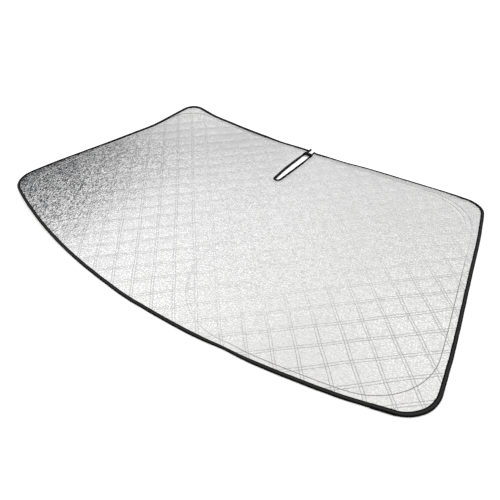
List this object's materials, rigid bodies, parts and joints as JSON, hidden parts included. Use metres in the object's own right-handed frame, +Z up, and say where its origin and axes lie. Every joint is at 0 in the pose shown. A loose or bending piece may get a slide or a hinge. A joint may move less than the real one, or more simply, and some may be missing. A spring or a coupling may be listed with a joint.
{
  "type": "windshield sun shade",
  "caption": "Foldable quilted foil sun shade for a windshield, bound in dark tape, with a strapped mirror slot in its upper edge and sewn-in spring hoops.",
  "frame": {"origin": "under the middle of the shade, on the floor that it lies on", "axes": "+X along the width, +Y towards the edge with the mirror slot, +Z up, away from the floor and out of the foil face"},
  "size_m": [1.405, 0.851, 0.0422],
  "materials": {
    "foil": "embossed metallised film, half gloss, quilted over thin foam",
    "tape": "matte woven binding tape",
    "backing_cloth": "matte woven backing",
    "spring_steel": "bright rolled strip"
  },
  "bodies": {
    "root": {"quilted_panel": "foil", "edge_binding": "tape", "slot_binding": "tape", "slot_strap": "tape", "left_hoop": "spring_steel", "right_hoop": "spring_steel", "left_hoop_casing": "backing_cloth", "right_hoop_casing": "backing_cloth"}
  },
  "joints": []
}
